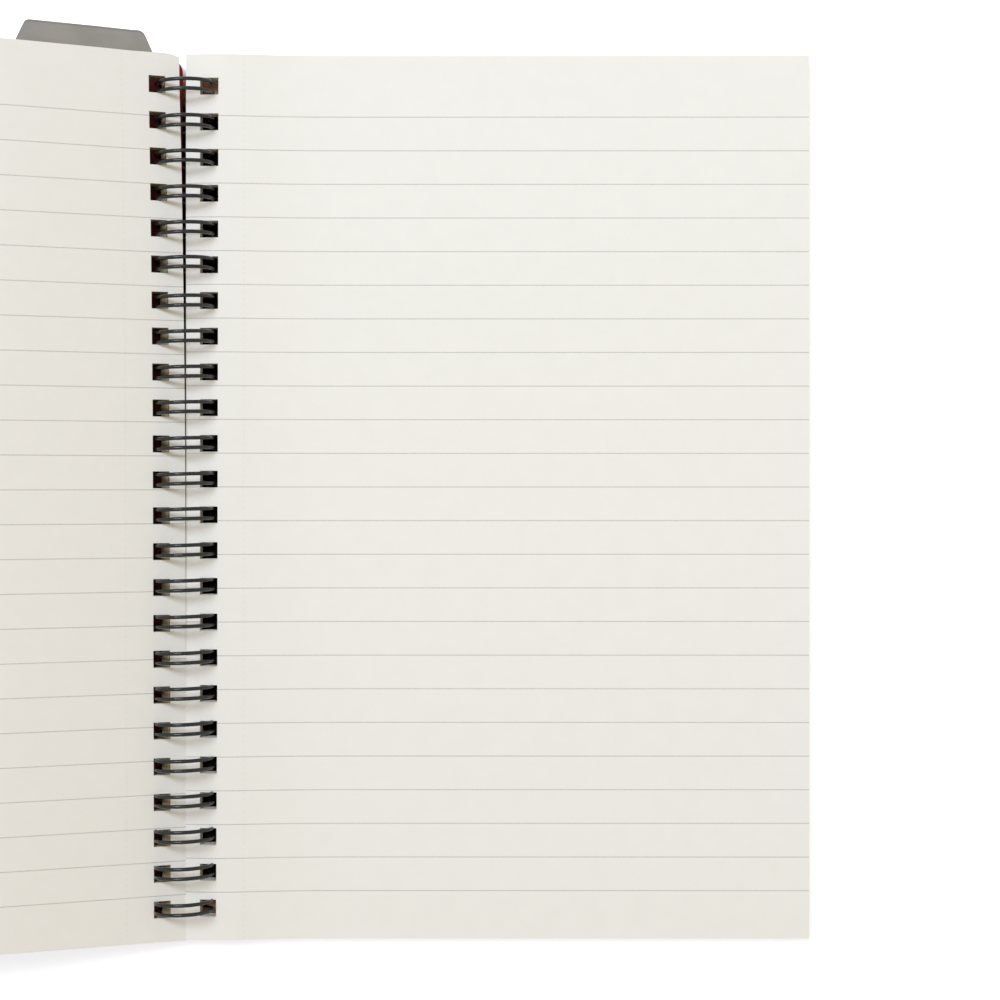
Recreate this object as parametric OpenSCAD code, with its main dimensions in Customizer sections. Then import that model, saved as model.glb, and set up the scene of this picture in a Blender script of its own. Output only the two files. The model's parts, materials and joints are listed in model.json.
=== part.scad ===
// Open wire-bound notebook with a tabbed divider, lying open on a table.
// X runs to the right, Y along the spine to the top of the pages, and Z up.
// Every leaf turns about the axis of the wire rings, which runs along Y above the origin.

/* [Pages] */
// Width of a sheet, from its spine edge to its fore-edge
page_w = 148; // [120:1:160]
// Height of a sheet, along the spine
page_h = 210; // [150:1:260]
// Thickness of the block of sheets on the right
right_stack_t = 3.85; // [2:0.05:4.5]
// Thickness of the sheets on the left that lie over the divider
left_upper_t = 0.9; // [0.3:0.05:1.2]
// Thickness of the sheets on the left that lie under the divider
left_lower_t = 2.25; // [1:0.05:2.9]
// Depth of the topmost sheet of each side below the axis of the rings
top_sheet_depth = 0.15; // [0.1:0.05:0.2]
// Free space between one leaf and the next
leaf_gap = 0.1; // [0.05:0.01:0.2]
// Distance from the axis of the rings to the spine edge of every leaf
spine_edge_x = 0.4; // [0.3:0.05:0.6]

/* [Covers] */
// Thickness of each cover board
cover_t = 0.8; // [0.4:0.05:1.4]
// Radius of the corners of each cover
cover_corner_r = 3.5; // [1:0.5:6]
// Length over which the covers and the right sheets come down from the rings until they lie on the table
drop_run = 20; // [15:1:30]

/* [Divider] */
// Thickness of the divider sheet
divider_t = 0.5; // [0.3:0.05:0.6]
// Width of the tab where it leaves the divider's top edge
tab_w = 31; // [20:0.5:31]
// How far the tab stands out above the pages
tab_h = 4.7; // [3:0.1:8]
// Distance from the divider's spine edge to the tab
tab_from_spine = 8; // [6:0.5:8]
// How much each slanted end of the tab leans in
tab_slant = 2.4; // [1:0.1:3]
// Radius of the tab's corner towards the fore-edge
tab_outer_r = 1; // [0.5:0.1:1.5]
// Radius of the tab's corner towards the spine
tab_inner_r = 2; // [1:0.1:2.5]

/* [Holes] */
// Distance from one hole to the next along the spine, three to the inch
hole_pitch = 8.467; // [8.3:0.001:8.6]
// Free space beyond the rings, from the wire to the far side of each hole
hole_far_play = 0.65; // [0.65:0.05:1]
// Free space along the spine on each side of the two wires in a hole
hole_side_play = 0.415; // [0.3:0.005:0.6]
// Free space between the wire and the near side of a cover's holes, where the cover hangs in the rings
hole_seat_play = 0.05; // [0.02:0.01:0.2]
// Least paper left between the end holes and the ends of the spine
hole_end_land = 5; // [4:0.5:8]
// Flat stretch beyond the holes, before the covers and the right sheets come down
hole_outer_land = 1; // [0.5:0.5:3]

/* [Wire] */
// Diameter of the wire
wire_d = 0.9; // [0.7:0.05:1.1]
// Free height between the underside of the covers and the inside of the rings at their lowest
ring_spare = 1.35; // [1.2:0.05:3]
// Distance between the two wires of one loop
pair_gap = 2.27; // [1.9:0.01:2.6]
// Radius of the bends that lead from the loops into the straight links
link_bend_r = 0.9; // [0.7:0.05:1.2]
// Angle by which each loop runs on past the bottom of the ring before its tip
loop_past_bottom = 2; // [0:0.5:4]
// Free space between the tips of the loops and the links
seam_gap = 0.35; // [0.2:0.05:0.8]

/* [Open position] */
// Angle at which the left sheets rise from the spine
rise_angle = 23; // [15:0.5:24]
// Length from the axis over which the left sheets rise straight, before they bend over
rise_run = 40; // [39.5:0.5:46]
// Free space between the fore-edge of the left sheets and the cover that they rest on
rest_gap = 0.1; // [0.05:0.05:0.3]
// Turn of the left sheets in the plane of the table, as they hang loose in the rings
left_skew = 0.15; // [0:0.05:0.35]

/* [Hidden] */

// A little extra length, so that cutting solids pass right through
cut_over = 1;
// How far the two halves of a link run into each other
link_overlap = 0.05;
// Fineness of the rings, of the bends and of the wire's own round section
ring_fn = 96;
bend_fn = 32;
wire_fn = 24;
// Steps in each rounded corner of the covers and the tab, in the bend of the left sheets, and in each of
// the two bends by which the covers and the right sheets come down
corner_steps = 8;
bend_steps = 24;
drop_steps = 8;

// Colours of the paper, the cover boards, the divider and the wire
paper_colour = [0.94, 0.93, 0.90];
cover_colour = [0.70, 0.10, 0.10];
divider_colour = [0.62, 0.60, 0.57];
wire_colour = [0.22, 0.23, 0.22];

// Depths below the axis of the top and bottom of each leaf, in the leaf's own plane
right_bottom = top_sheet_depth + right_stack_t;
upper_bottom = top_sheet_depth + left_upper_t;
divider_top = upper_bottom + leaf_gap;
divider_bottom = divider_top + divider_t;
lower_top = divider_bottom + leaf_gap;
lower_bottom = lower_top + left_lower_t;
cover_top = max(right_bottom, lower_bottom) + leaf_gap;
cover_bottom = cover_top + cover_t;

// Rings: inside, centre line of the wire and outside, and height of the axis above the table
ring_inner_r = cover_bottom + ring_spare;
ring_r = ring_inner_r + wire_d / 2;
ring_outer_r = ring_inner_r + wire_d;
axis_z = ring_outer_r;

// Each loop starts at its link, to the right of the bottom, goes round over the top and ends in its tip.
// The tip's and the link's own widths, and the gap, are turned into angles round the ring.
// A tenth of a degree is fine enough for the start.
loop_end = 270 + loop_past_bottom;
tip_turn = atan((pair_gap + wire_d) / 2 / ring_r);
link_turn = atan((link_bend_r + wire_d / 2) / ring_r);
gap_turn = seam_gap / ring_r * 180 / PI;
loop_start = round(10 * (loop_end - 360 + tip_turn + gap_turn + link_turn)) / 10;

// Holes: their near side clears the inside of the rings at the depth of the covers, and their far side
// clears the outside of the rings
hole_near_x = sqrt(pow(ring_inner_r - hole_seat_play, 2) - pow(cover_bottom, 2));
hole_far_x = ring_outer_r + hole_far_play;
hole_h = pair_gap + wire_d + 2 * hole_side_play;

// Row of holes and loops, centred on the pages
hole_count = floor((page_h - 2 * hole_end_land - hole_h) / hole_pitch) + 1;
hole_row = (hole_count - 1) * hole_pitch;
hole_y = [for (i = [0 : hole_count - 1]) i * hole_pitch - hole_row / 2];

// The covers and the right sheets come down in two equal and opposite bends that keep their thickness, and
// go on flat. All of them keep their full width, so the last flat stretch is what the rest leaves over.
drop = axis_z - cover_bottom;
drop_x = hole_far_x + hole_outer_land;
drop_angle = 2 * atan(drop / drop_run);
drop_r = drop_run / 2 / sin(drop_angle);
flat_run = page_w - (drop_x - spine_edge_x) - 2 * drop_r * drop_angle * PI / 180;
fore_edge_x = drop_x + drop_run + flat_run;

// The left sheets rise straight, bend over in one arc through twice the rise angle and come down straight.
// Their last straight run is what the rise and the arc leave over of their width.
bend_angle = 2 * rise_angle;
bend_per_radius = bend_angle * PI / 180;
width_after_rise = page_w + spine_edge_x - rise_run;

// The corner of the lowest sheet rests on the cover. Its height grows evenly with the radius of its bend, so
// the radius follows directly, to a thousandth.
rest_z = cover_t + rest_gap;
corner_z_with_no_bend = axis_z + (rise_run - width_after_rise) * sin(rise_angle)
    - lower_bottom * cos(rise_angle);
rise_per_radius = bend_per_radius * sin(rise_angle);
lowest_bend_r = round(1000 * (rest_z - corner_z_with_no_bend) / rise_per_radius) / 1000;
bend_r = lowest_bend_r + lower_bottom;

// Length of the last straight run of a sheet at the given depth
function last_run(depth) = width_after_rise - (bend_r - depth) * bend_per_radius;

// The pages are placed along the spine so that the whole has its middle above the origin: the tab reaches
// furthest one way, and the outer corner of the lowest left sheet the other, because that side lies askew
left_reach = (rise_run + last_run(lower_bottom)) * cos(rise_angle)
    + (bend_r + lowest_bend_r) * sin(rise_angle);
tab_top_x = (spine_edge_x + tab_from_spine + tab_slant) * cos(rise_angle);
reach_up = (page_h / 2 + tab_h) * cos(left_skew) - tab_top_x * sin(left_skew);
reach_down = page_h / 2 * cos(left_skew) + left_reach * sin(left_skew);
page_mid_y = (reach_down - reach_up) / 2;

// A list of points in the other order
function reversed(points) = [for (i = [len(points) - 1 : -1 : 0]) points[i]];

// Points of a rounded corner, counter-clockwise from one angle to another
function corner_points(centre, radius, from, to) = [
    for (i = [0 : corner_steps])
        let (a = from + (to - from) * i / corner_steps)
        centre + radius * [cos(a), sin(a)]
];

// Puts its children on the axis of the rings
module on_axis() {
    translate([0, page_mid_y, axis_z])
        children();
}

// Row of square holes through a leaf that lies to the right of the axis, between two depths
module hole_row_cut(top, bottom) {
    for (y = hole_y)
        translate([hole_near_x, y - hole_h / 2, -bottom - cut_over])
            cube([hole_far_x - hole_near_x, hole_h, bottom - top + 2 * cut_over]);
}

// Points of the side view of a flat-lying leaf at the given depth, from its spine edge to its fore-edge.
// X runs outwards from the axis and Y up from it.
function lying_points(depth) =
    let (
        second_centre = [drop_x + drop_run, drop_r - drop]
    )
    concat(
        [[spine_edge_x, -depth]],
        [
            for (i = [0 : drop_steps])
                let (a = drop_angle * i / drop_steps)
                [drop_x, -drop_r] + (drop_r - depth) * [sin(a), cos(a)]
        ],
        [
            for (i = [1 : drop_steps])
                let (a = drop_angle * (1 - i / drop_steps))
                second_centre - (drop_r + depth) * [sin(a), cos(a)]
        ],
        [[fore_edge_x, -drop - depth]]
    );

// Leaf between two depths, drawn to the right of the axis: its outline from the side, along the whole spine,
// less the holes
module leaf(top_points, bottom_points, top, bottom) {
    difference() {
        translate([0, page_h / 2, 0])
            rotate([90, 0, 0])
                linear_extrude(height = page_h)
                    polygon(concat(bottom_points, reversed(top_points)));
        hole_row_cut(top, bottom);
    }
}

// Leaf that lies down on the right
module lying_leaf(top, bottom) {
    leaf(lying_points(top), lying_points(bottom), top, bottom);
}

// Outline of a cover from above, with its corners rounded
module cover_outline() {
    r = cover_corner_r;
    inner_x = spine_edge_x + r;
    outer_x = fore_edge_x - r;
    corner_y = page_h / 2 - r;
    polygon(concat(
        corner_points([outer_x, -corner_y], r, -90, 0),
        corner_points([outer_x, corner_y], r, 0, 90),
        corner_points([inner_x, corner_y], r, 90, 180),
        corner_points([inner_x, -corner_y], r, 180, 270)
    ));
}

// Cover board to the right of the axis
module cover_board() {
    intersection() {
        lying_leaf(cover_top, cover_bottom);
        translate([0, 0, -axis_z - cut_over])
            linear_extrude(height = axis_z + 2 * cut_over)
                cover_outline();
    }
}

// Points of the side view of a left sheet at the given depth, from its spine edge to its fore-edge.
// X runs outwards from the axis and Y up from it, and the sheet is drawn as if it rose level.
function sheet_points(depth) =
    let (
        r = bend_r - depth,
        arc = [
            for (i = [0 : bend_steps])
                let (a = 90 - bend_angle * i / bend_steps)
                [rise_run + r * cos(a), r * sin(a) - bend_r]
        ],
        fore_edge = arc[bend_steps] + last_run(depth) * [cos(bend_angle), -sin(bend_angle)]
    )
    concat([[spine_edge_x, -depth]], arc, [fore_edge]);

// Left leaf between two depths, drawn to the right of the axis and mirrored where it is used
module arched_leaf(top, bottom) {
    leaf(sheet_points(top), sheet_points(bottom), top, bottom);
}

// Flips a right-hand leaf over to the left, then raises it and lets it lie slightly askew
module on_the_left() {
    translate([0, page_mid_y, axis_z])
        rotate([0, 0, left_skew])
            rotate([0, rise_angle, 0])
                mirror([1, 0, 0])
                    children();
}

// Index tab on the top edge of the divider, in the leaf's plane to the right of the axis
module tab() {
    inner_x = spine_edge_x + tab_from_spine;
    outer_x = inner_x + tab_w;
    lean = atan(tab_slant / tab_h);
    inner_arc = tab_inner_r * tan((90 - lean) / 2);
    outer_arc = tab_outer_r * tan((90 - lean) / 2);
    polygon(concat(
        [[inner_x, -cut_over], [outer_x, -cut_over], [outer_x, 0]],
        corner_points(
            [outer_x - tab_slant - outer_arc, tab_h - tab_outer_r],
            tab_outer_r, lean, 90
        ),
        corner_points(
            [inner_x + tab_slant + inner_arc, tab_h - tab_inner_r],
            tab_inner_r, 90, 180 - lean
        ),
        [[inner_x, 0]]
    ));
}

// Places its children at the given angle round a ring: X outwards, Y along the wire, Z towards the bottom
// of the pages
module on_ring(angle) {
    rotate([90, 0, 0])
        rotate([0, 0, angle])
            translate([ring_r, 0, 0])
                children();
}

// Bend of the wire in the plane that touches the ring, swept from one angle to another. Its round section is
// turned a quarter, so that its outline starts on the outside of the ring, where a loop's and a link's do.
module wire_bend(radius, from, to) {
    rotate([0, 90, 0])
        rotate([0, 0, from])
            rotate_extrude(angle = to - from, $fn = bend_fn)
                translate([radius, 0])
                    rotate(90)
                        circle(d = wire_d, $fn = wire_fn);
}

// One wire of a loop, from its link to its tip
module loop_wire() {
    rotate([90, 0, 0])
        rotate([0, 0, loop_start])
            rotate_extrude(angle = loop_end - loop_start, $fn = ring_fn)
                translate([ring_r, 0])
                    circle(d = wire_d, $fn = wire_fn);
}

// One double loop: two wires joined by a rounded tip
module double_loop() {
    for (side = [-1, 1])
        translate([0, side * pair_gap / 2, 0])
            loop_wire();
    on_ring(loop_end)
        wire_bend(pair_gap / 2, 0, 180);
}

// Half of the link from a loop to the next one, up the spine for side 1 or down it for side -1:
// a bend and half of the straight run, a little more than half so that the two halves are sure to join
module half_link(side) {
    half_run = hole_pitch / 2 - pair_gap / 2 - link_bend_r + link_overlap;
    up = side > 0;
    on_ring(loop_start)
        translate([0, 0, -side * (pair_gap / 2 + link_bend_r)]) {
            wire_bend(link_bend_r, up ? 180 : 270, up ? 270 : 360);
            translate([0, -link_bend_r, up ? -half_run : 0])
                cylinder(h = half_run, d = wire_d, $fn = wire_fn);
        }
}

module back_cover() {
    color(cover_colour)
        on_axis()
            cover_board();
}

module wire_binding() {
    color(wire_colour)
        on_axis()
            for (i = [0 : hole_count - 1])
                translate([0, hole_y[i], 0]) {
                    double_loop();
                    if (i > 0)
                        half_link(-1);
                    if (i < hole_count - 1)
                        half_link(1);
                }
}

module right_pages() {
    color(paper_colour)
        on_axis()
            lying_leaf(top_sheet_depth, right_bottom);
}

module front_cover() {
    color(cover_colour)
        on_axis()
            mirror([1, 0, 0])
                cover_board();
}

module left_pages_lower() {
    color(paper_colour)
        on_the_left()
            arched_leaf(lower_top, lower_bottom);
}

module divider() {
    color(divider_colour)
        on_the_left() {
            arched_leaf(divider_top, divider_bottom);
            translate([0, page_h / 2, -divider_bottom])
                linear_extrude(height = divider_t)
                    tab();
        }
}

module left_pages_upper() {
    color(paper_colour)
        on_the_left()
            arched_leaf(top_sheet_depth, upper_bottom);
}

back_cover();
wire_binding();
right_pages();
front_cover();
left_pages_lower();
divider();
left_pages_upper();
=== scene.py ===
import json
import math

import bpy
import numpy as np
from mathutils import Matrix, Vector


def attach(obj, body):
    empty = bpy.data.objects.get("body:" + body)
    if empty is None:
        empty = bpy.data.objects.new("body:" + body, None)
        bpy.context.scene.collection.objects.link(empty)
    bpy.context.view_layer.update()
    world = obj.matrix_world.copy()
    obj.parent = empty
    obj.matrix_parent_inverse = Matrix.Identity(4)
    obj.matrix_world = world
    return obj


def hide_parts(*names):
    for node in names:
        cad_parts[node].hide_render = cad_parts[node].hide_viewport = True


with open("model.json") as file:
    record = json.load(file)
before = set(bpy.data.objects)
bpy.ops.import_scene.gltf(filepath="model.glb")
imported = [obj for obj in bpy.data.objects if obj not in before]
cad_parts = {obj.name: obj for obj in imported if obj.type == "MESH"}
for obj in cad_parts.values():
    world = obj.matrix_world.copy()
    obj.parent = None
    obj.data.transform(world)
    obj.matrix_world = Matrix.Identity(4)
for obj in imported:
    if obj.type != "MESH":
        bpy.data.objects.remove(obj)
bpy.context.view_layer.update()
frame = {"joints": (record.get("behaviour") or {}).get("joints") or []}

# Lengths are in millimetres until a mesh is made, and angles in degrees unless said.
MM = 0.001

# Driving sizes, as in the part's source
PAGE_W = 148.0
PAGE_H = 210.0
TOP_DEPTH = 0.15
RIGHT_T = 3.85
LEFT_UPPER_T = 0.9
DIVIDER_T = 0.5
LEFT_LOWER_T = 2.25
LEAF_GAP = 0.1
SPINE_X = 0.4
COVER_T = 0.8
HOLE_PITCH = 8.467
HOLE_COUNT = 24
HOLE_NEAR = 3.8
HOLE_FAR = 7.8
HOLE_H = 4.0
WIRE_D = 0.9
RING_R = 6.7
PAIR_GAP = 2.27
LINK_BEND_R = 0.9
LOOP_START = -60.3
LOOP_END = 272.0
TAB_FROM = 6.1
TAB_W = 32.4
TAB_H = 5.15
TAB_SLANT = 2.4

axis_point = frame["joints"][0]["pos_m"]
MID_Y = axis_point[1] / MM
AXIS_Z = axis_point[2] / MM
HALF_H = PAGE_H / 2
FORE_X = SPINE_X + PAGE_W
COVER_DEPTH = TOP_DEPTH + RIGHT_T + LEAF_GAP
COVER_LIFT = AXIS_Z - COVER_DEPTH - COVER_T
hole_y = (np.arange(HOLE_COUNT) - (HOLE_COUNT - 1) / 2) * HOLE_PITCH
rng = np.random.default_rng(7)


# ---------------------------------------------------------------- meshes

def make_object(name, verts, faces, slots=None, materials=(), leaf=None, smooth=40):
    """Mesh object from points in millimetres, with a material index a face and a leaf coordinate a point."""
    mesh = bpy.data.meshes.new(name)
    mesh.from_pydata((np.asarray(verts) * MM).tolist(), [], faces)
    for material in materials:
        mesh.materials.append(material)
    if slots is not None:
        mesh.polygons.foreach_set("material_index", np.asarray(slots, np.int32))
    if leaf is not None:
        attribute = mesh.attributes.new("leaf", "FLOAT_VECTOR", "POINT")
        attribute.data.foreach_set("vector", np.asarray(leaf, np.float32).ravel())
    mesh.validate()
    mesh.shade_smooth()
    mesh.set_sharp_from_angle(angle=math.radians(smooth))
    mesh.update()
    obj = bpy.data.objects.new(name, mesh)
    bpy.context.scene.collection.objects.link(obj)
    return obj


def leaf_rows():
    """Rows along the spine: both ends and both sides of each hole, and which cells between them are holes."""
    rows = [-HALF_H, HALF_H]
    for y in hole_y:
        rows += [y - HOLE_H / 2, y + HOLE_H / 2]
    rows = np.array(sorted(rows))
    middles = (rows[:-1] + rows[1:]) / 2
    is_hole = np.array([np.abs(hole_y - m).min() < HOLE_H / 2 for m in middles])
    return rows, is_hole


def leaf_mesh(columns, rows, is_hole, place, top, thickness, flip, tag, outline=None, tab=None,
              holes=(HOLE_NEAR, HOLE_FAR)):
    """One closed thin sheet, with holes where is_hole says, between the two columns that holes names.

    place(s, y, depth) gives points from a distance s out from the axis, a place y along the spine and a depth below
    the top. outline(s) gives how far both ends pull in, and tab(s) how far the far end stands out. Each point keeps
    s, y and the tag for the materials.
    """
    nc, nr = len(columns), len(rows)
    s_grid, y_grid = np.meshgrid(columns, rows, indexing="ij")
    y_grid = y_grid.copy()
    if outline is not None:
        inset = outline(columns)
        y_grid[:, 0] += inset
        y_grid[:, -1] -= inset
    filled = np.ones((nc - 1, nr - 1), bool)
    middle_s = (columns[:-1] + columns[1:]) / 2
    hole_columns = (middle_s > holes[0]) & (middle_s < holes[1])
    filled[np.ix_(hole_columns, is_hole)] = False
    if tab is not None:
        height = tab(columns)
        s_grid = np.hstack([s_grid, columns[:, None]])
        y_grid = np.hstack([y_grid, (HALF_H + height)[:, None]])
        nr += 1
        filled = np.hstack([filled, ((height[:-1] + height[1:]) > 1e-6)[:, None]])
    n = nc * nr
    s_flat, y_flat = s_grid.ravel(), y_grid.ravel()
    verts = np.vstack([place(s_flat, y_flat, top), place(s_flat, y_flat, top + thickness)])
    leaf = np.column_stack([np.tile(s_flat, 2), np.tile(y_flat, 2), np.full(2 * n, tag)])
    faces, slots = [], []

    def add(face, slot):
        faces.append(face[::-1] if flip else face)
        slots.append(slot)

    def index(i, j, side):
        return side * n + i * nr + j

    for i in range(nc - 1):
        for j in range(nr - 1):
            if not filled[i, j]:
                continue
            a, b, c, d = (i, j), (i + 1, j), (i + 1, j + 1), (i, j + 1)
            add([index(*p, 0) for p in (a, b, c, d)], 0)
            add([index(*p, 1) for p in (d, c, b, a)], 0)
            walls = (
                (a, b, j > 0 and filled[i, j - 1]),
                (b, c, i < nc - 2 and filled[i + 1, j]),
                (c, d, j < nr - 2 and filled[i, j + 1]),
                (d, a, i > 0 and filled[i - 1, j]),
            )
            for p, q, joined in walls:
                if not joined:
                    add([index(*q, 0), index(*p, 0), index(*p, 1), index(*q, 1)], 1)
    if tab is not None:
        # Where the tab has no height its two rows of points are the same: weld them
        for i in range(nc):
            if height[i] < 1e-6:
                for side in (0, 1):
                    old, new = index(i, nr - 1, side), index(i, nr - 2, side)
                    faces[:] = [[new if v == old else v for v in f] for f in faces]
        kept, kept_slots = [], []
        for face, slot in zip(faces, slots):
            clean = [v for k, v in enumerate(face) if v != face[k - 1]]
            if len(set(clean)) > 2:
                kept.append(clean)
                kept_slots.append(slot)
        faces, slots = kept, kept_slots
    return verts, faces, slots, leaf


def merged(*columns):
    """The columns in order, each once."""
    return np.array(sorted({round(float(v), 4) for group in columns for v in group}))


def join(parts):
    """Several closed sheets as the arrays of one mesh."""
    verts, faces, slots, leaf, start = [], [], [], [], 0
    for v, f, s, l in parts:
        verts.append(v)
        faces += [[k + start for k in face] for face in f]
        slots += s
        leaf.append(l)
        start += len(v)
    return np.vstack(verts), faces, slots, np.vstack(leaf)


# ---------------------------------------------------------------- shapes of the leaves

def smooth_profile(knots):
    """Smooth curve through rounded-off knots (distance from the axis, height)."""
    step, spread_steps, reach_steps = 0.1, 25.0, 90
    xs = np.arange(-20.0, 175.0, step)
    heights = np.interp(xs, *np.transpose(knots))
    spread = np.exp(-0.5 * (np.arange(-reach_steps, reach_steps + 1) / spread_steps) ** 2)
    spread /= spread.sum()
    heights = np.convolve(np.pad(heights, reach_steps, mode="edge"), spread, mode="valid")
    return lambda x: np.interp(x, xs, heights)


def smooth_step(t):
    t = np.clip(t, 0, 1)
    return t * t * (3 - 2 * t)


# Where a cover starts to come down to the table, and over which length
DROP_FROM = 8.8
DROP_RUN = 20.0


def board_lift(x):
    """Height of a cover's underside: up on the wire at the spine, and flat on the table further out."""
    return COVER_LIFT * (1 - smooth_step((x - DROP_FROM) / DROP_RUN))


right_top = smooth_profile([
    (-20, 6.9), (0.4, 6.9), (4, 7.5), (8, 7.8), (12, 7.45), (20, 6.2), (30, 5.4), (45, 5.22), (80, 5.15),
    (148.4, 4.95), (175, 4.95),
])


def right_place(x, y, depth):
    """Right-hand sheets: they lie on the back cover, and the upper ones ride up on the rings."""
    up = 1 - (depth - TOP_DEPTH) / RIGHT_T
    floor = board_lift(x) + COVER_T + LEAF_GAP
    loose = right_top(x) - floor - RIGHT_T
    z = floor + RIGHT_T * up + loose * up ** 3
    # The holes grow a little wider towards the top of the pages
    wider = np.interp(x, [5.8, HOLE_FAR, 11.5], [0, 1, 0]) * np.interp(y, [-97, -50, 97], [-0.17, 0.1, 0.38])
    return np.column_stack([x + wider, y + MID_Y, z])


# Angle at which the left sheets rise, its growth per millimetre along the spine, and the length that stays straight
RISE = 23.1
RISE_TWIST = 0.0178
RISE_RUN = 40.0
# The left leaves lie slightly askew and aside on the wire
SKEW = 0.167
LEFT_SHIFT = -0.1
LEFT_DROP = 0.19
# Over which distances from the axis a sheet's hang fades out
HANG_TO = 55.0
HANG_FADE = 90.0
LOWER_BOTTOM = TOP_DEPTH + LEFT_UPPER_T + LEAF_GAP + DIVIDER_T + LEAF_GAP + LEFT_LOWER_T


def left_hang(y, share):
    """How much higher than the axis a left sheet hangs: share is 0 for the top one and 1 for the lowest."""
    upper = 0.45 + 0.0115 * y
    lower = 0.35 + 0.0035 * y
    return upper + (lower - upper) * share


def left_curve(s, y, depth, radius, share):
    """Side view of a left sheet: distance out from the axis, and height over the table."""
    rise = np.radians(RISE + RISE_TWIST * y)
    r = radius - depth
    arc = np.clip((s - RISE_RUN) / r, 0, 2 * rise)
    flat = np.clip(s - RISE_RUN - r * 2 * rise, 0, None)
    along = np.minimum(s, RISE_RUN) + r * np.sin(arc) + flat * np.cos(2 * rise)
    down = -radius + r * np.cos(arc) - flat * np.sin(2 * rise)
    out = along * np.cos(rise) - down * np.sin(rise)
    hang = left_hang(y, share) * (1 - smooth_step((s - HANG_TO) / HANG_FADE))
    up = along * np.sin(rise) + down * np.cos(rise)
    return out, AXIS_Z + up + hang


def bend_radii(rows):
    """Radius of the bend at each row, so that the lowest sheet comes down on the front cover."""
    low = np.full(len(rows), 40.0)
    high = np.full(len(rows), 140.0)
    end = np.full(len(rows), FORE_X)
    for _ in range(40):
        middle = (low + high) / 2
        out, up = left_curve(end, rows, LOWER_BOTTOM, middle, 1.0)
        above = up > board_lift(out) + COVER_T + LEAF_GAP
        high = np.where(above, middle, high)
        low = np.where(above, low, middle)
    return (low + high) / 2


radius_rows = np.linspace(-HALF_H - 6, HALF_H + 6, 45)
radius_values = bend_radii(radius_rows)


def left_place(s, y, depth):
    """Left-hand sheets: they rise from the spine, bend over and come down on the front cover."""
    share = (depth - TOP_DEPTH) / (LOWER_BOTTOM - TOP_DEPTH)
    radius = np.interp(y, radius_rows, radius_values)
    out, up = left_curve(s, y, depth, radius, share)
    skew = math.radians(SKEW)
    # The spine edge is worn: it bows out towards the right pages and is a little short at the top
    bow = np.interp(y, [-105, -60, -20, 20, 50, 75, 97], [0.33, 0.42, 0.48, 0.52, 0.36, 0.15, -0.1])
    land = np.interp(s, [SPINE_X, HOLE_NEAR], [1, 0]) * np.interp(y, [-20, 10, 80, 100], [0.4, 0.38, 0.2, 0.0])
    short = np.interp(
        s, [0.4, 2.0, 3.8, 5.8, 7.8, 12, 19, 37, 44], [0.85, 0.36, 0.13, 0.17, 0.22, 0.29, 0.18, 0.06, 0])
    y = y - short * np.clip((y - 99.5) / 5.5, 0, 1)
    x = -out + LEFT_SHIFT + bow + land
    return np.column_stack([
        x * math.cos(skew) - y * math.sin(skew),
        x * math.sin(skew) + y * math.cos(skew) + MID_Y - LEFT_DROP,
        up,
    ])


# ---------------------------------------------------------------- materials

def new_material(name):
    """Material with one Principled shader, its node tree's parts and that shader."""
    material = bpy.data.materials.new(name)
    material.use_nodes = True
    nodes = material.node_tree.nodes
    nodes.clear()
    output = nodes.new("ShaderNodeOutputMaterial")
    shader = nodes.new("ShaderNodeBsdfPrincipled")
    material.node_tree.links.new(shader.outputs[0], output.inputs[0])
    return material, nodes, material.node_tree.links, shader


class Graph:
    """Short calls for the nodes of one material."""

    def __init__(self, nodes, links):
        self.nodes, self.links = nodes, links

    def put(self, socket, value):
        if isinstance(value, bpy.types.NodeSocket):
            self.links.new(value, socket)
        elif value is not None:
            socket.default_value = value

    def math(self, operation, a, b=None):
        node = self.nodes.new("ShaderNodeMath")
        node.operation = operation
        for socket, value in zip(node.inputs, (a, b)):
            self.put(socket, value)
        return node.outputs[0]

    def ramp(self, value, start, end, low=0.0, high=1.0):
        node = self.nodes.new("ShaderNodeMapRange")
        node.interpolation_type = "SMOOTHSTEP"
        for name, v in zip(("Value", "From Min", "From Max", "To Min", "To Max"), (value, start, end, low, high)):
            self.put(node.inputs[name], v)
        return node.outputs[0]

    def noise(self, vector, scale, detail=3.0, rough=0.5):
        node = self.nodes.new("ShaderNodeTexNoise")
        self.put(node.inputs["Vector"], vector)
        node.inputs["Scale"].default_value = scale
        node.inputs["Detail"].default_value = detail
        node.inputs["Roughness"].default_value = rough
        return node.outputs["Fac"]

    def mix(self, factor, a, b):
        node = self.nodes.new("ShaderNodeMix")
        node.data_type = "RGBA"
        self.put(node.inputs[0], factor)
        self.put(node.inputs[6], a)
        self.put(node.inputs[7], b)
        return node.outputs[2]

    def leaf(self):
        """The sheet's own coordinate, as a vector and as distance from the axis, place along the spine and tag."""
        node = self.nodes.new("ShaderNodeAttribute")
        node.attribute_name = "leaf"
        split = self.nodes.new("ShaderNodeSeparateXYZ")
        self.links.new(node.outputs["Vector"], split.inputs[0])
        return node.outputs["Vector"], split.outputs[0], split.outputs[1], split.outputs[2]

    def place(self):
        return self.nodes.new("ShaderNodeTexCoord").outputs["Object"]

    def bump(self, height, strength, distance):
        node = self.nodes.new("ShaderNodeBump")
        node.inputs["Strength"].default_value = strength
        node.inputs["Distance"].default_value = distance
        self.put(node.inputs["Height"], height)
        return node.outputs[0]


PAPER = (0.885, 0.868, 0.818)
CUT_PAPER = (0.74, 0.70, 0.61)
RULING = (0.42, 0.41, 0.385, 1)
PERFORATION = (0.42, 0.39, 0.33, 1)
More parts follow.
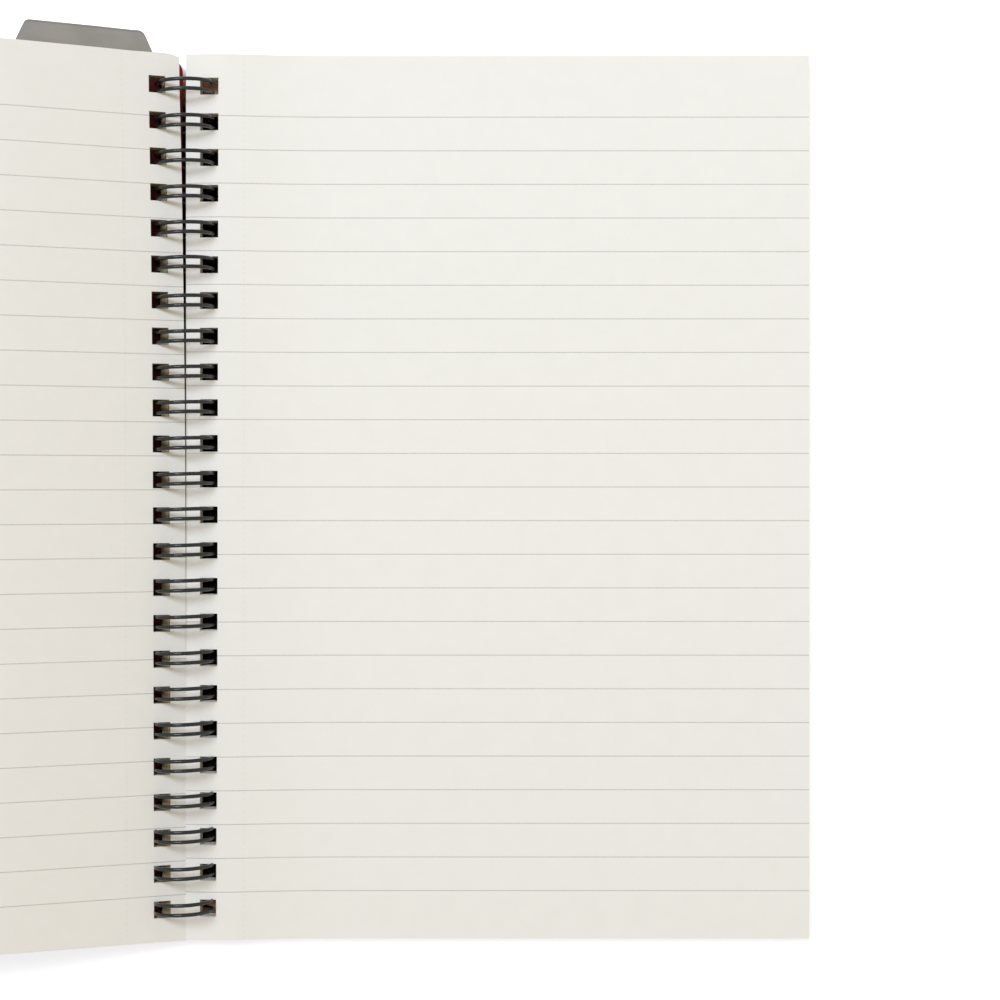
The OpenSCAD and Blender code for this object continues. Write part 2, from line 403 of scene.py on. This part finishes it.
# Painted shade: the sheets inside a left block, and the walls of the holes on the left, are coloured tan for the deep
# shade there
INNER_SHEET_SHADE = (0.42, 0.33, 0.19, 1)
LEFT_HOLE_WALL_SHADE = (0.46, 0.37, 0.21, 1)
RIGHT_HOLE_WALL = (0.70, 0.66, 0.55, 1)
COVER_RED = (0.56, 0.022, 0.022)
COVER_GRAIN = (0.52, 0.020, 0.02)
# Painted shade on the inside of the covers, away from the lit top corner at the spine
COVER_INSIDE_SHADE = (0.16, 0.012, 0.012, 1)
RULING_PITCH = 8.0
RULING_COUNT = 24
DASH_PITCH = 1.5


def opaque(colour, share=1.0):
    """The colour with each value times the share, and alpha."""
    return [value * share for value in colour] + [1]


def paper_material(name, first_line, perforation):
    """Ruled paper: thin grey lines edge to edge, a dotted perforation, faint mottling and fibres.

    first_line is how far the first line is below the top, and perforation is how far out from the axis the dots run.
    """
    material, nodes, links, shader = new_material(name)
    g = Graph(nodes, links)
    leaf, s, y, shaded_inner_sheet = g.leaf()
    below_top = g.math("SUBTRACT", HALF_H - first_line, y)
    number = g.math("DIVIDE", below_top, RULING_PITCH)
    nearest = g.math("ROUND", number)
    off = g.math("MULTIPLY", g.math("ABSOLUTE", g.math("SUBTRACT", number, nearest)), RULING_PITCH)
    on_line = g.ramp(off, 0.08, 0.15, 1.0, 0.0)
    inside = g.math("MULTIPLY", g.math("GREATER_THAN", nearest, -0.5),
                    g.math("LESS_THAN", nearest, RULING_COUNT - 0.5))
    on_line = g.math("MULTIPLY", on_line, inside)
    ink = g.math("MULTIPLY", on_line, g.ramp(g.noise(leaf, 1.7, 2.0), 0.25, 0.75, 0.75, 1.0))
    dash = g.math("LESS_THAN", g.math("FRACT", g.math("MULTIPLY", y, 1 / DASH_PITCH)), 0.55)
    cut = g.ramp(g.math("ABSOLUTE", g.math("SUBTRACT", s, perforation)), 0.06, 0.2, 1.0, 0.0)
    cut = g.math("MULTIPLY", cut, dash)
    mottle = g.noise(leaf, 0.18, 4.0, 0.6)
    fibre = g.noise(leaf, 4.0, 3.0, 0.7)
    darker = opaque(PAPER, 0.982)
    paper = g.mix(g.ramp(mottle, 0.3, 0.7), darker, opaque(PAPER))
    paper = g.mix(g.ramp(fibre, 0.35, 0.75, 0.0, 0.35), paper, darker)
    paper = g.mix(g.math("MULTIPLY", cut, 0.09), paper, PERFORATION)
    paper = g.mix(g.math("MULTIPLY", ink, 0.67), paper, RULING)
    # Painted shade: the sheets inside a left block are coloured tan for the deep shade within it
    paper = g.mix(shaded_inner_sheet, paper, INNER_SHEET_SHADE)
    g.put(shader.inputs["Base Color"], paper)
    shader.inputs["Roughness"].default_value = 0.85
    shader.inputs["Specular IOR Level"].default_value = 0.25
    height = g.math("SUBTRACT", g.math("MULTIPLY", fibre, 0.3), g.math("MULTIPLY", cut, 1.0))
    g.put(shader.inputs["Normal"], g.bump(height, 0.25, 0.00002))
    return material


def edge_material(name, hole_colour):
    """Cut edges of paper: a shade warmer and duller than the page, and another colour in the holes."""
    material, nodes, links, shader = new_material(name)
    g = Graph(nodes, links)
    leaf, s, y, _ = g.leaf()
    grain = g.noise(leaf, 2.5, 3.0, 0.6)
    base = g.mix(g.ramp(grain, 0.3, 0.7), opaque(CUT_PAPER, 0.86), opaque(CUT_PAPER))
    # All cut edges near the holes, but not the two ends of the sheet
    in_hole = g.math("MULTIPLY", g.math("GREATER_THAN", s, 3.0), g.math("LESS_THAN", s, 9.0))
    in_hole = g.math("MULTIPLY", in_hole, g.math("LESS_THAN", g.math("ABSOLUTE", y), 104.0))
    g.put(shader.inputs["Base Color"], g.mix(in_hole, base, hole_colour))
    shader.inputs["Roughness"].default_value = 0.95
    shader.inputs["Specular IOR Level"].default_value = 0.1
    return material


def board_material(name, inside=None):
    """Smooth coated card with a fine grain. inside is a darker colour, painted as shade, away from the lit top corner
    at the spine.
    """
    material, nodes, links, shader = new_material(name)
    g = Graph(nodes, links)
    place = g.place()
    fine = g.noise(place, 2600.0, 3.0, 0.6)
    broad = g.noise(place, 60.0, 3.0, 0.5)
    base = g.mix(g.ramp(broad, 0.3, 0.7), opaque(COVER_RED), opaque(COVER_GRAIN))
    if inside:
        # Painted shade: the inside face is darker away from the lit top corner at the spine, for the shadow of the
        # pages above it
        _, s, y, _ = g.leaf()
        away = g.math("MAXIMUM", g.ramp(s, 2.2, 3.6), g.ramp(y, 92.0, 100.0, 1.0, 0.0))
        base = g.mix(away, base, inside)
    g.put(shader.inputs["Base Color"], base)
    g.put(shader.inputs["Roughness"], g.ramp(fine, 0.3, 0.7, 0.42, 0.58))
    g.put(shader.inputs["Normal"], g.bump(fine, 0.2, 0.00003))
    return material


def divider_material():
    """Grey plastic sheet with a haze, and with a darker rim along its top edge, the tab's too."""
    material, nodes, links, shader = new_material("divider_plastic")
    g = Graph(nodes, links)
    leaf, _, _, rim = g.leaf()
    haze = g.noise(leaf, 0.12, 3.0, 0.5)
    base = g.mix(g.ramp(haze, 0.3, 0.7), (0.285, 0.272, 0.25, 1), (0.325, 0.305, 0.28, 1))
    base = g.mix(g.ramp(rim, 0.1, 0.75, 0.55, 0.0), base, (0.14, 0.145, 0.145, 1))
    g.put(shader.inputs["Base Color"], base)
    fine = g.noise(leaf, 6.0, 2.0, 0.5)
    g.put(shader.inputs["Roughness"], g.ramp(fine, 0.3, 0.7, 0.36, 0.46))
    shader.inputs["IOR"].default_value = 1.49
    g.put(shader.inputs["Normal"], g.bump(fine, 0.1, 0.00002))
    return material


def wire_material():
    """Charcoal plastic-coated wire with a satin gloss."""
    material, nodes, links, shader = new_material("wire_coating")
    g = Graph(nodes, links)
    speck = g.noise(g.place(), 1800.0, 3.0, 0.6)
    base = g.mix(g.ramp(speck, 0.3, 0.7), (0.008, 0.0085, 0.008, 1), (0.013, 0.0135, 0.0125, 1))
    g.put(shader.inputs["Base Color"], base)
    g.put(shader.inputs["Roughness"], g.ramp(speck, 0.3, 0.7, 0.15, 0.21))
    shader.inputs["Specular IOR Level"].default_value = 0.39
    g.put(shader.inputs["Normal"], g.bump(speck, 0.12, 0.00002))
    return material


paper_right = paper_material("paper_right_page", 14.62, SPINE_X + 13.7)
paper_left = paper_material("paper_left_page", 15.12, SPINE_X + 13.9)
right_edge = edge_material("paper_cut_edge", RIGHT_HOLE_WALL)
# Painted shade: the left sheets' hole walls are coloured tan for the shade deep in the holes
left_edge = edge_material("left_cut_edge", LEFT_HOLE_WALL_SHADE)
cover_red = board_material("cover_red_card")
cover_inside_shaded = board_material("cover_inside_shaded_card", COVER_INSIDE_SHADE)
divider_plastic = divider_material()
wire_coating = wire_material()


# ---------------------------------------------------------------- leaves

rows, is_hole = leaf_rows()
# The number of sheets can't be read from the photo
RIGHT_SHEETS = 32
UPPER_SHEETS = 8
LOWER_SHEETS = 19
SHEET_T = 0.1
# Spread of how far the sheets lie out of line
SHEET_SHIFT = 0.035


def sheet_shift(number):
    """How far a sheet lies out of line with the top one, which has the number 0."""
    shift = rng.normal(0, SHEET_SHIFT, 2) if number else np.zeros(2)
    return np.array([shift[0], shift[1], 0])


right_columns = np.array([
    SPINE_X, 2.0, HOLE_NEAR, 5.8, HOLE_FAR, 9.5, 11.5, 14, 17, 20, 23, 26, 30, 36, 45, 70, 110, FORE_X,
])
right_pitch = RIGHT_T / RIGHT_SHEETS
parts = []
for k in range(RIGHT_SHEETS):
    def place(s, y, depth, shift=sheet_shift(k)):
        return right_place(s, y, depth) + shift

    parts.append(leaf_mesh(right_columns, rows, is_hole, place, TOP_DEPTH + k * right_pitch, SHEET_T, False, 0))
verts, faces, slots, leaf = join(parts)
right_sheets = make_object("right_sheets", verts, faces, slots, (paper_right, right_edge), leaf)
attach(right_sheets, "right_block")
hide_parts("right_pages")

left_columns = np.array([
    SPINE_X, 2.0, HOLE_NEAR, 5.8, HOLE_FAR, 12, 18, 26, 33, *np.linspace(RISE_RUN, 112, 17), 130, FORE_X,
])


def left_stack(name, first, thickness, count, body, node, stagger):
    """Sheets of one left block. The stagger is how far its lowest sheet hangs further from the spine, but for the
    top of the pages. The sheets between the first and the last are tagged for the tan painted shade inside the block."""
    parts = []
    pitch = thickness / count
    for k in range(count):
        def place(s, y, depth, shift=sheet_shift(k), behind=stagger * k / count):
            points = left_place(s, y, depth) + shift
            points[:, 0] -= behind * np.interp(y, [55, 95], [1, 0])
            return points

        # Painted shade: this tag colours the inner sheets tan
        shaded_inner_sheet = 1 if 0 < k < count - 1 else 0
        parts.append(leaf_mesh(left_columns, rows, is_hole, place, first + k * pitch, SHEET_T, True, shaded_inner_sheet))
    verts, faces, slots, leaf = join(parts)
    obj = make_object(name, verts, faces, slots, (paper_left, left_edge), leaf)
    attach(obj, body)
    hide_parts(node)


upper_bottom = TOP_DEPTH + LEFT_UPPER_T
divider_top = upper_bottom + LEAF_GAP
lower_top = divider_top + DIVIDER_T + LEAF_GAP
left_stack("left_sheets_upper", TOP_DEPTH, LEFT_UPPER_T, UPPER_SHEETS, "left_upper_block", "left_pages_upper", 0.0)
left_stack("left_sheets_lower", lower_top, LEFT_LOWER_T, LOWER_SHEETS, "left_lower_block", "left_pages_lower", 1.1)


tab_inner = SPINE_X + TAB_FROM
tab_outer = tab_inner + TAB_W


def tab_height(s):
    """Height of the tab's edge above the page at a distance from the axis, with both corners rounded."""
    slope = TAB_H / TAB_SLANT
    height = np.minimum(np.minimum((s - tab_inner) * slope, (tab_outer - s) * slope), TAB_H)
    inner_round = TAB_H - 0.26 * np.clip(tab_inner + TAB_SLANT + 1.3 - s, 0, None) ** 2
    outer_round = TAB_H - 0.3 * np.clip(s - (tab_outer - TAB_SLANT - 1.0), 0, None) ** 2
    return np.clip(np.minimum(np.minimum(height, inner_round), outer_round), 0, None)


tab_columns = np.concatenate([
    np.linspace(tab_inner, tab_inner + TAB_SLANT + 2.2, 13),
    np.linspace(tab_inner + TAB_SLANT + 5, tab_outer - TAB_SLANT - 3, 4),
    np.linspace(tab_outer - TAB_SLANT - 1.2, tab_outer, 10),
])
divider_columns = merged(left_columns, tab_columns)
# The divider is drawn a little thinner than its solid
verts, faces, slots, leaf = leaf_mesh(
    divider_columns, rows, is_hole, left_place, divider_top, DIVIDER_T - 0.05, True, 0, tab=tab_height)
# The tag is the distance below the top edge, for the darker rim
edge_height = HALF_H + tab_height(leaf[:, 0])
leaf[:, 2] = np.clip(edge_height - leaf[:, 1], 0, 50)
divider_sheet = make_object("divider_leaf", verts, faces, slots, (divider_plastic, divider_plastic), leaf)
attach(divider_sheet, "divider_sheet")
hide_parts("divider")


# ---------------------------------------------------------------- covers

BOARD_CORNER_R = 3.5
FRONT_EDGE_X = 1.05
BACK_EDGE_X = 0.4


def board(name, spine_edge, hole_from, hole_to, side, body, node):
    """Cover board with four rounded corners, and with holes between two distances from the axis.

    side is 1 for a board to the right and -1 for one to the left.
    """
    r = BOARD_CORNER_R
    turn = np.linspace(0, 90, 9)
    corner = r * (1 - np.cos(np.radians(turn)))
    columns = merged(
        spine_edge + corner, [hole_from, (hole_from + hole_to) / 2, hole_to],
        np.arange(10, 31, 3.0), [60, 100], FORE_X - corner)

    def inset(s):
        d = np.minimum(np.minimum(s - spine_edge, FORE_X - s), r)
        return r - np.sqrt(np.clip(r * r - (r - d) ** 2, 0, None))

    def place(s, y, depth):
        return np.column_stack([side * s, y + MID_Y, board_lift(s) + COVER_T - depth])

    verts, faces, slots, leaf = leaf_mesh(
        columns, rows, is_hole, place, 0.0, COVER_T, side < 0, 0, outline=inset, holes=(hole_from, hole_to))
    # The upper face is the inside of the cover
    count = len(verts) // 2
    slots = [1 if slot == 0 and max(face) < count else 0 for face, slot in zip(faces, slots)]
    obj = make_object(name, verts, faces, slots, (cover_red, cover_inside_shaded), leaf)
    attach(obj, body)
    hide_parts(node)


board("front_board", FRONT_EDGE_X, 3.5, 6.2, -1, "front_board", "front_cover")
board("back_board", BACK_EDGE_X, HOLE_NEAR, HOLE_FAR, 1, "base", "back_cover")


# ---------------------------------------------------------------- wire

WIRE_SIDES = 14
LEAN = math.tan(math.radians(2.0))
# Where the comb's last end stops in the top right hole, the radius of its hook, and how much thicker its tip is
HOOK_ANGLE = 10.0
HOOK_R = 0.7
TIP_SWELL = 1.4
PHOTO_PIXELS_PER_MM = 4.28
# How far each loop sits from its even place, in pixels of the photo and from the bottom of the pages up
loop_offsets = np.array([
    -0.7, -0.4, 0.5, 0.2, -0.2, 0.4, 0.1, -0.1, 0.4, 0.6, 0.2, 0.5, -0.2, -0.2, -0.1, -0.6, -1.0, -1.3, 1.4, 0.4, 0.2,
    0, -0.3, 0.1,
]) / PHOTO_PIXELS_PER_MM


def arc_points(centre, radius, start, end, count):
    angles = np.radians(np.linspace(start, end, count))
    return [(centre[0] + radius * math.cos(a), centre[1] + radius * math.sin(a)) for a in angles]


def wire_path():
    """Centre line of the whole comb as (distance round the ring, distance along the spine)."""
    start, end = RING_R * math.radians(LOOP_START), RING_R * math.radians(LOOP_END)
    round_steps = np.linspace(start, end, 62)
    path = []
    for i, y in enumerate(hole_y):
        low, high = y - PAIR_GAP / 2, y + PAIR_GAP / 2
        if i > 0:
            path += arc_points((start, low - LINK_BEND_R), LINK_BEND_R, 180, 90, 6)[:-1]
        path += [(q, low) for q in round_steps[:-1]]
        path += arc_points((end, y), PAIR_GAP / 2, -90, 90, 10)[:-1]
        if i == len(hole_y) - 1:
            stop = RING_R * math.radians(HOOK_ANGLE)
            path += [(q, high) for q in round_steps[::-1] if q > stop]
            path += arc_points((stop, high - HOOK_R), HOOK_R, 90, 165, 7)
        else:
            path += [(q, high) for q in round_steps[::-1]]
            path += arc_points((start, high + LINK_BEND_R), LINK_BEND_R, -90, -180, 6)[1:]
    return np.array(path)


path = wire_path()
angle = path[:, 0] / RING_R
x = RING_R * np.cos(angle)
z = RING_R * np.sin(angle)
# Both wires of a loop share its offset, and the links lead from one offset to the next. The loops also lean, crowd a
# little towards the middle of the spine, and do so most at their tops.
knots = np.sort(np.concatenate([hole_y - 2.1, hole_y + 2.1]))
own = np.interp(path[:, 1], knots, np.repeat(loop_offsets, 2))
inward = 0.07 - 0.0068 * path[:, 1]
high_up = 0.5 + 0.5 * np.clip(z / RING_R, -1, 1)
y = path[:, 1] + (inward + own) * (0.45 + 0.55 * high_up) + LEAN * x
points = np.column_stack([x, y + MID_Y, z + AXIS_Z])
# Round section across the path, with rounded caps and a thicker tip at the hook
outward = np.column_stack([x, np.zeros(len(x)), z]) / RING_R
tangent = np.gradient(points, axis=0)
tangent /= np.linalg.norm(tangent, axis=1)[:, None]
outward -= tangent * (outward * tangent).sum(1)[:, None]
outward /= np.linalg.norm(outward, axis=1)[:, None]
across = np.cross(tangent, outward)
turn = np.radians(np.arange(WIRE_SIDES) * 360 / WIRE_SIDES)
cap_steps = [(math.sin(t), math.cos(t)) for t in np.radians([18, 36, 54, 72])]
wire_r = WIRE_D / 2
cap_r = wire_r * 0.6
swell = np.interp(np.arange(len(points)), [len(points) - 9, len(points) - 3], [1.0, TIP_SWELL])
rings = [(points[0] - tangent[0] * cap_r * c, wire_r * s, 0) for s, c in cap_steps]
rings += [(p, wire_r * swell[i], i) for i, p in enumerate(points)]
rings += [(points[-1] + tangent[-1] * cap_r * c, wire_r * TIP_SWELL * s, -1) for s, c in cap_steps[::-1]]
verts = np.vstack([
    centre + radius * (np.cos(turn)[:, None] * outward[i] + np.sin(turn)[:, None] * across[i])
    for centre, radius, i in rings
])
faces = []
for i in range(len(rings) - 1):
    for k in range(WIRE_SIDES):
        a, b = i * WIRE_SIDES + k, i * WIRE_SIDES + (k + 1) % WIRE_SIDES
        faces.append([a + WIRE_SIDES, b + WIRE_SIDES, b, a])
faces.append(list(range(WIRE_SIDES)))
faces.append([(len(rings) - 1) * WIRE_SIDES + k for k in range(WIRE_SIDES)][::-1])
twin_wire = make_object("twin_loop_wire", verts, faces, None, (wire_coating,), None, 60)
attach(twin_wire, "base")
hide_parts("wire_binding")


# ---------------------------------------------------------------- floor, light and camera

# In metres from here on
FLOOR_REACH = 4.0
FLOOR_DROP = 0.00005
FLOOR_GLOW = (0.90, 0.96, 1.06, 1)
FLOOR_GLOW_POWER = 0.6
FLOOR_WHITE = (0.86, 0.86, 0.86, 1)
# Floor colours painted as shade under the spine: tan in the first holes, almost black further in
FLOOR_FIRST_HOLES_SHADE = (0.62, 0.50, 0.30, 1)
FLOOR_PAINTED_SHADE = (0.02, 0.018, 0.016, 1)
# Strip of floor under the spine that is painted with shade: its middle and its half width
SPINE_STRIP_X = 0.00285
SPINE_STRIP_HALF = 0.00565


def camera_factor(g):
    """1 for what the camera sees, also in a reflection or through something, and 0 for the light that falls."""
    node = g.nodes.new("ShaderNodeLightPath")
    seen = g.math("MAXIMUM", node.outputs["Is Camera Ray"], node.outputs["Is Glossy Ray"])
    return g.math("MAXIMUM", seen, node.outputs["Is Transmission Ray"])


floor_mesh = bpy.data.meshes.new("floor")
corners = [(x * FLOOR_REACH, y * FLOOR_REACH, -FLOOR_DROP) for x, y in ((-1, -1), (1, -1), (1, 1), (-1, 1))]
floor_mesh.from_pydata(corners, [], [(0, 1, 2, 3)])
floor = bpy.data.objects.new("floor", floor_mesh)
bpy.context.scene.collection.objects.link(floor)
floor_material = bpy.data.materials.new("floor_white")
floor_material.use_nodes = True
nodes, links = floor_material.node_tree.nodes, floor_material.node_tree.links
nodes.clear()
g = Graph(nodes, links)
output = nodes.new("ShaderNodeOutputMaterial")
diffuse = nodes.new("ShaderNodeBsdfDiffuse")
glow = nodes.new("ShaderNodeEmission")
glow.inputs[0].default_value = FLOOR_GLOW
# The floor is seen white round the notebook, and only as bright as it is lit under it
spot = nodes.new("ShaderNodeSeparateXYZ")
links.new(g.place(), spot.inputs[0])
inside_x = g.math("SUBTRACT", FORE_X * MM, g.math("ABSOLUTE", spot.outputs[0]))
inside_y = g.math("SUBTRACT", HALF_H * MM, g.math("ABSOLUTE", g.math("SUBTRACT", spot.outputs[1], MID_Y * MM)))
clear = g.ramp(g.math("MINIMUM", inside_x, inside_y), 0.001, 0.0058, 1.0, 0.0)
g.put(glow.inputs[1], g.math("MULTIPLY", g.math("MULTIPLY", camera_factor(g), FLOOR_GLOW_POWER), clear))
# Painted shade under the spine: the floor is tan in the first holes and then almost black, for the shade in the gap
# and the right holes
inside_spine = g.math(
    "SUBTRACT", SPINE_STRIP_HALF, g.math("ABSOLUTE", g.math("SUBTRACT", spot.outputs[0], SPINE_STRIP_X)))
under = g.ramp(inside_spine, 0.0, 0.001)
first = g.math("MULTIPLY", under, g.ramp(inside_y, 0.003, 0.0065))
deep_shade = g.math("MULTIPLY", under, g.ramp(inside_y, 0.0085, 0.012))
shaded_ground = g.mix(first, FLOOR_WHITE, FLOOR_FIRST_HOLES_SHADE)
g.put(diffuse.inputs[0], g.mix(deep_shade, shaded_ground, FLOOR_PAINTED_SHADE))
both = nodes.new("ShaderNodeAddShader")
links.new(diffuse.outputs[0], both.inputs[0])
links.new(glow.outputs[0], both.inputs[1])
links.new(both.outputs[0], output.inputs[0])
floor_mesh.materials.append(floor_material)

# A warm even light from all round, and a cooler broad lamp from the upper left that is turned off to the right
AMBIENT = (0.504, 0.442, 0.340, 1)
KEY_POWER = 19.4
KEY_COLOUR = (0.756, 0.851, 1.0)
world = bpy.data.worlds.new("studio")
bpy.context.scene.world = world
world.use_nodes = True
nodes, links = world.node_tree.nodes, world.node_tree.links
nodes.clear()
g = Graph(nodes, links)
output = nodes.new("ShaderNodeOutputWorld")
background = nodes.new("ShaderNodeBackground")
g.put(background.inputs[0], g.mix(camera_factor(g), AMBIENT, (1, 1, 1, 1)))
links.new(background.outputs[0], output.inputs[0])


def area_light(name, place, aim, size, power, colour):
    light = bpy.data.lights.new(name, "AREA")
    light.shape = "RECTANGLE"
    light.size, light.size_y = size
    light.energy = power
    light.color = colour
    obj = bpy.data.objects.new(name, light)
    obj.location = place
    obj.rotation_euler = (Vector(aim) - Vector(place)).to_track_quat("-Z", "Y").to_euler()
    bpy.context.scene.collection.objects.link(obj)


area_light("key_light", (-0.28, 0.42, 1.26), (2.24, 0.56, 0), (0.30, 1.0), KEY_POWER, KEY_COLOUR)

# The camera looks almost straight down, to the right of the spine. Its focal length is in pixels of the photo.
FOCAL_PIXELS = 2101.0
PHOTO_WIDTH = 1000
SENSOR_WIDTH = 36
camera_data = bpy.data.cameras.new("camera")
camera_data.sensor_width = SENSOR_WIDTH
camera_data.lens = FOCAL_PIXELS / PHOTO_WIDTH * SENSOR_WIDTH
camera_data.clip_start = 0.01
camera_data.clip_end = 20
camera = bpy.data.objects.new("camera", camera_data)
camera.location = (0.07709, (MID_Y - 1.342) * MM, 0.505)
camera.rotation_mode = "XYZ"
turned = (Matrix.Rotation(math.radians(0.001), 3, "Z") @ Matrix.Rotation(math.radians(0.253), 3, "Y")
          @ Matrix.Rotation(math.radians(0.072), 3, "X"))
camera.rotation_euler = turned.to_euler("XYZ")
bpy.context.scene.collection.objects.link(camera)
bpy.context.scene.camera = camera
bpy.context.scene.view_settings.view_transform = "Standard"
